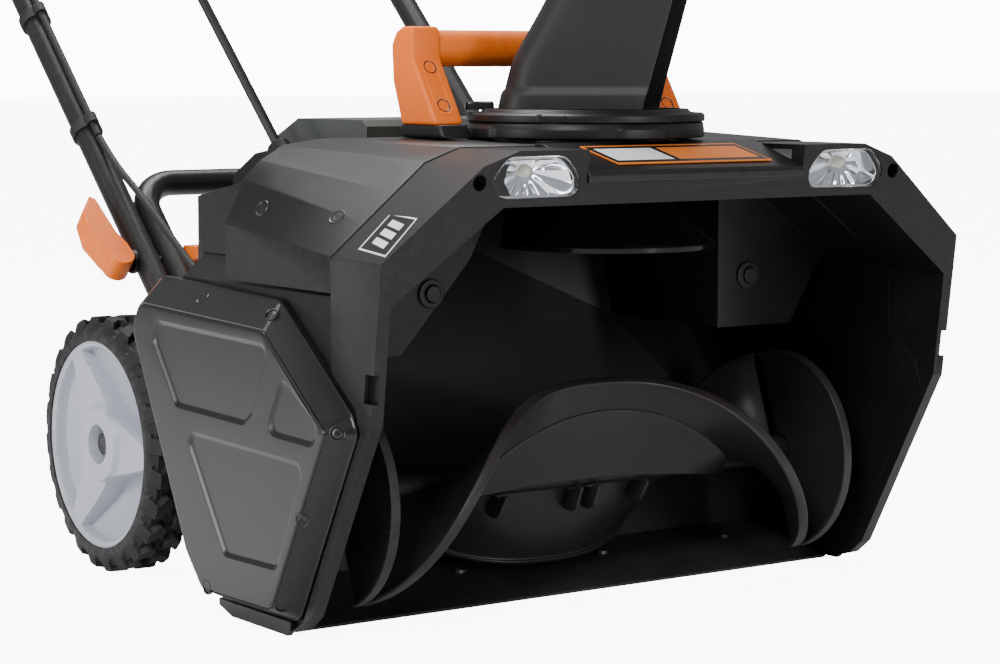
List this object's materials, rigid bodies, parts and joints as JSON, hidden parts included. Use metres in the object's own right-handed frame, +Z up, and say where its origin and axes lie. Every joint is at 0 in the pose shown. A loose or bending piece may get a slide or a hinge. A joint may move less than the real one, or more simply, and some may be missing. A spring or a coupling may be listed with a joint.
{
  "type": "snow blower",
  "caption": "Battery snow blower: wide rotating auger in a faceted housing, turning discharge chute, folding push handle and a pair of wheels.",
  "frame": {"origin": "on the ground, at the centre of the scraper bar's underside", "axes": "+X to the right seen from the front, +Y to the rear along the machine, +Z up; the front faces -Y"},
  "size_m": [0.5646, 1.2163, 0.9968],
  "materials": {
    "black_shell": "satin moulded",
    "badge_panel": "satin",
    "lamp_mirror": "bright",
    "lamp_glass": "clear",
    "auger_black": "worn satin",
    "black_tube": "powder coat",
    "dark_screw": "dark zinc",
    "motor_metal": "cast",
    "orange": "satin moulded",
    "tyre_rubber": "moulded rubber",
    "soft_black": "matt",
    "hub_grey": "satin moulded",
    "pack_shell": "satin moulded"
  },
  "bodies": {
    "chassis": {"auger_housing": "black_shell", "front_frame": "black_shell", "hood": "black_shell", "rear_body": "black_shell", "belt_cover": "black_shell", "side_cover": "black_shell", "case_screws": "dark_screw", "name_panel": "badge_panel", "lamp_reflectors": "lamp_mirror", "lamp_lenses": "lamp_glass", "scraper_bar": "auger_black", "skid_shoes": "auger_black", "intake_cone": "black_shell", "wall_bolts": "dark_screw", "auger_bearings": "black_shell", "motor_case": "motor_metal", "drive_belt": "soft_black", "chute_base_ring": "black_shell", "carry_handle_posts": "orange", "carry_handle_bar": "orange", "battery_packs": "pack_shell", "door_hinge_pin": "dark_screw", "axle": "dark_screw", "axle_brackets": "black_shell", "lower_handle_tube": "black_tube", "tube_clamps": "black_tube", "fold_bolts": "dark_screw", "chute_drive_case": "black_shell", "control_cable": "soft_black"},
    "auger": {"auger_shaft": "black_tube", "auger_blade_front": "auger_black", "auger_blade_rear": "auger_black", "auger_end_webs": "auger_black", "auger_ribs": "auger_black", "auger_pulley": "auger_black"},
    "motor_rotor": {"motor_shaft": "motor_metal"},
    "wheel_left": {"tyre_left": "tyre_rubber", "wheel_hub_left": "hub_grey"},
    "wheel_right": {"tyre_right": "tyre_rubber", "wheel_hub_right": "hub_grey"},
    "chute": {"chute_gear_ring": "black_shell", "chute_body": "black_shell", "deflector_pins": "dark_screw"},
    "deflector": {"chute_deflector": "black_shell"},
    "battery_cover": {"battery_door": "black_shell"},
    "upper_handle": {"upper_handle_tube": "black_tube", "handle_grip": "soft_black", "cable_clips": "black_shell", "handle_cable": "soft_black", "rod_bracket": "black_shell", "control_box": "black_shell"},
    "bail": {"bail_bar": "black_tube"},
    "start_button": {"safety_button": "orange"},
    "light_button": {"lamp_switch": "black_shell"},
    "crank_rod": {"chute_rod": "black_tube"},
    "lever_left": {"cam_lever_left": "orange"},
    "lever_right": {"cam_lever_right": "orange"},
    "nut_left": {"wing_nut_left": "orange"},
    "nut_right": {"wing_nut_right": "orange"}
  },
  "joints": [
    {"name": "auger_spin", "type": "hinge", "parent": "chassis", "child": "auger", "pos_m": [0, -0.024, 0.094], "axis": [1, 0, 0], "continuous": true},
    {"name": "motor_spin", "type": "hinge", "parent": "chassis", "child": "motor_rotor", "pos_m": [0, 0.134, 0.202], "axis": [1, 0, 0], "continuous": true},
    {"name": "wheel_left_spin", "type": "hinge", "parent": "chassis", "child": "wheel_left", "pos_m": [-0.2485, 0.257, 0.104], "axis": [1, 0, 0], "continuous": true},
    {"name": "wheel_right_spin", "type": "hinge", "parent": "chassis", "child": "wheel_right", "pos_m": [0.2485, 0.257, 0.104], "axis": [1, 0, 0], "continuous": true},
    {"name": "chute_turn", "type": "hinge", "parent": "chassis", "child": "chute", "pos_m": [0, -0.0406, 0.371], "axis": [0, 0, 1], "range_deg": [-134, 46]},
    {"name": "deflector_tilt", "type": "hinge", "parent": "chute", "child": "deflector", "pos_m": [0.00948, -0.05042, 0.535], "axis": [0.7193, 0.6947, 0], "range_deg": [0, 38]},
    {"name": "battery_door_hinge", "type": "hinge", "parent": "chassis", "child": "battery_cover", "pos_m": [0, 0.0845, 0.3546], "axis": [1, 0, 0], "range_deg": [0, 75]},
    {"name": "handle_fold", "type": "hinge", "parent": "chassis", "child": "upper_handle", "pos_m": [0, 0.295, 0.2473], "axis": [-1, 0, 0], "range_deg": [0, 50], "deforming": ["control_cable"]},
    {"name": "bail_squeeze", "type": "hinge", "parent": "upper_handle", "child": "bail", "pos_m": [0, 0.94032, 0.91496], "axis": [-1, 0, 0], "range_deg": [0, 29], "stiffness_Nm_per_rad": 1.2, "springref_deg": -20.05},
    {"name": "start_button_press", "type": "slide", "parent": "upper_handle", "child": "start_button", "axis": [0, 0.6947, -0.7193], "range_m": [0, 0.004], "stiffness_N_per_m": 900, "springref_m": -0.002},
    {"name": "light_button_press", "type": "slide", "parent": "upper_handle", "child": "light_button", "axis": [0, 0.6947, -0.7193], "range_m": [0, 0.004], "stiffness_N_per_m": 700, "springref_m": -0.002},
    {"name": "crank_turn", "type": "hinge", "parent": "upper_handle", "child": "crank_rod", "pos_m": [-0.136, 0.44546, 0.58958], "axis": [0, 0.7193, 0.6947], "range_deg": [-540, 190]},
    {"name": "lever_left_open", "type": "hinge", "parent": "chassis", "child": "lever_left", "pos_m": [-0.228, 0.295, 0.2473], "axis": [0, 0.6947, -0.7193], "range_deg": [-100, 0]},
    {"name": "lever_right_open", "type": "hinge", "parent": "chassis", "child": "lever_right", "pos_m": [0.228, 0.295, 0.2473], "axis": [0, 0.6947, -0.7193], "range_deg": [0, 100]},
    {"name": "nut_left_spin", "type": "hinge", "parent": "chassis", "child": "nut_left", "pos_m": [-0.161, 0.295, 0.2473], "axis": [1, 0, 0], "continuous": true},
    {"name": "nut_right_spin", "type": "hinge", "parent": "chassis", "child": "nut_right", "pos_m": [0.161, 0.295, 0.2473], "axis": [1, 0, 0], "continuous": true}
  ],
  "couplings": [
    {"joint": "motor_spin", "follows": "auger_spin", "ratio": 3.3333},
    {"joint": "crank_turn", "follows": "chute_turn", "ratio": 4}
  ]
}
